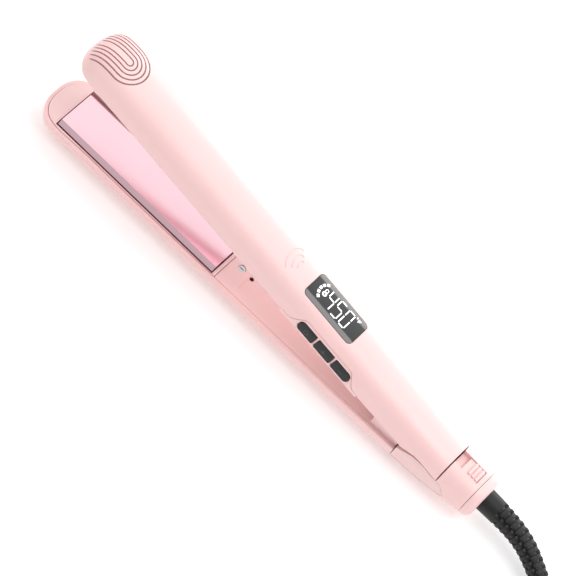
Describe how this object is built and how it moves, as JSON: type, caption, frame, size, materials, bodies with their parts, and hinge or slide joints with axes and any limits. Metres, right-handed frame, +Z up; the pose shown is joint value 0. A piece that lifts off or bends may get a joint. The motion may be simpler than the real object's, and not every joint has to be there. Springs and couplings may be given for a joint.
{
  "type": "flat iron",
  "caption": "Hair straightener: two hinged arms with floating heated plates, a display, side buttons, an arm lock at the tail and a corded plug.",
  "frame": {"origin": "on the lower arm's flat resting land, at its middle, 128 mm from the hinge pin towards the tips", "axes": "+X from the tips to the cord along the lower arm, +Z up from the resting face, -Y towards the buttons"},
  "size_m": [0.4902, 0.0685, 0.0734],
  "materials": {
    "pink_shell": "smooth satin painted shell",
    "pink_inner": "fine matt moulded cover",
    "plate_coating": "polished rose coating on aluminium",
    "heater_ceramic": "matt ceramic",
    "clamp_steel": "brushed",
    "silicone_pad": "soft silicone",
    "carrier_plastic": "heat resistant moulding",
    "steel_part": "brushed",
    "spring_steel": "drawn wire",
    "nylon": "natural nylon",
    "black_rubber": "satin black",
    "button_rubber": "satin dark grey",
    "display_glass": "glossy smoked window",
    "display_dark": "display module",
    "circuit_board": "solder mask green",
    "brass_blade": "polished",
    "white_mark": "lit white segments"
  },
  "bodies": {
    "lower_arm": {"cord_hank": "black_rubber", "end_cap": "pink_shell", "hank_tie": "black_rubber", "hinge_cover_left": "pink_inner", "hinge_cover_right": "pink_inner", "hinge_pin": "steel_part", "hinge_washers": "nylon", "lead_bush": "nylon", "lower_cover_screw": "steel_part", "lower_inner_cover": "pink_inner", "lower_outer_shell": "pink_shell", "lower_plate_carrier": "carrier_plastic", "lower_plate_frame": "pink_inner", "lower_plate_pads": "silicone_pad", "lower_spring_seat": "nylon", "mains_lead": "black_rubber", "opening_spring": "spring_steel", "plug_blades": "brass_blade", "plug_body": "black_rubber", "plug_lead": "black_rubber", "strain_relief": "black_rubber", "tail_housing": "pink_shell"},
    "lower_plate_float": {"lower_plate": "plate_coating", "lower_heater": "heater_ceramic", "lower_heater_clamp": "clamp_steel"},
    "upper_plate_float": {"upper_plate": "plate_coating", "upper_heater": "heater_ceramic", "upper_heater_clamp": "clamp_steel"},
    "lock": {"lock_slider": "pink_shell"},
    "power_key": {"power_button": "button_rubber"},
    "plus_key": {"plus_button": "button_rubber"},
    "minus_key": {"minus_button": "button_rubber"},
    "upper_arm": {"upper_outer_shell": "pink_shell", "upper_inner_cover": "pink_inner", "upper_cover_screw": "steel_part", "upper_hinge_bracket": "clamp_steel", "button_panel": "pink_inner", "button_switches": "circuit_board", "display_window": "display_glass", "display_module": "display_dark", "control_board": "circuit_board", "upper_plate_frame": "pink_inner", "upper_plate_pads": "silicone_pad", "upper_plate_carrier": "carrier_plastic"}
  },
  "joints": [
    {"name": "arm_hinge", "type": "hinge", "parent": "lower_arm", "child": "upper_arm", "pos_m": [0.128, 0, 0.01535], "axis": [0, -1, 0], "range_deg": [0, 10.4], "stiffness_Nm_per_rad": 2.5, "springref_deg": -11.46, "deforming": ["opening_spring"]},
    {"name": "lower_plate_press", "type": "slide", "parent": "lower_arm", "child": "lower_plate_float", "axis": [0, 0, -1], "range_m": [0, 0.001], "stiffness_N_per_m": 4000, "springref_m": -0.001},
    {"name": "upper_plate_press", "type": "slide", "parent": "upper_arm", "child": "upper_plate_float", "axis": [0.1805, 0, 0.9836], "range_m": [0, 0.001], "stiffness_N_per_m": 4000, "springref_m": -0.001},
    {"name": "lock_slide", "type": "slide", "parent": "lower_arm", "child": "lock", "axis": [-1, 0, 0], "range_m": [0, 0.0042]},
    {"name": "power_press", "type": "slide", "parent": "upper_arm", "child": "power_key", "axis": [0, 1, 0], "range_m": [0, 0.0008], "stiffness_N_per_m": 800, "springref_m": -0.0008},
    {"name": "plus_press", "type": "slide", "parent": "upper_arm", "child": "plus_key", "axis": [0, 1, 0], "range_m": [0, 0.0008], "stiffness_N_per_m": 800, "springref_m": -0.0008},
    {"name": "minus_press", "type": "slide", "parent": "upper_arm", "child": "minus_key", "axis": [0, 1, 0], "range_m": [0, 0.0008], "stiffness_N_per_m": 800, "springref_m": -0.0008}
  ]
}
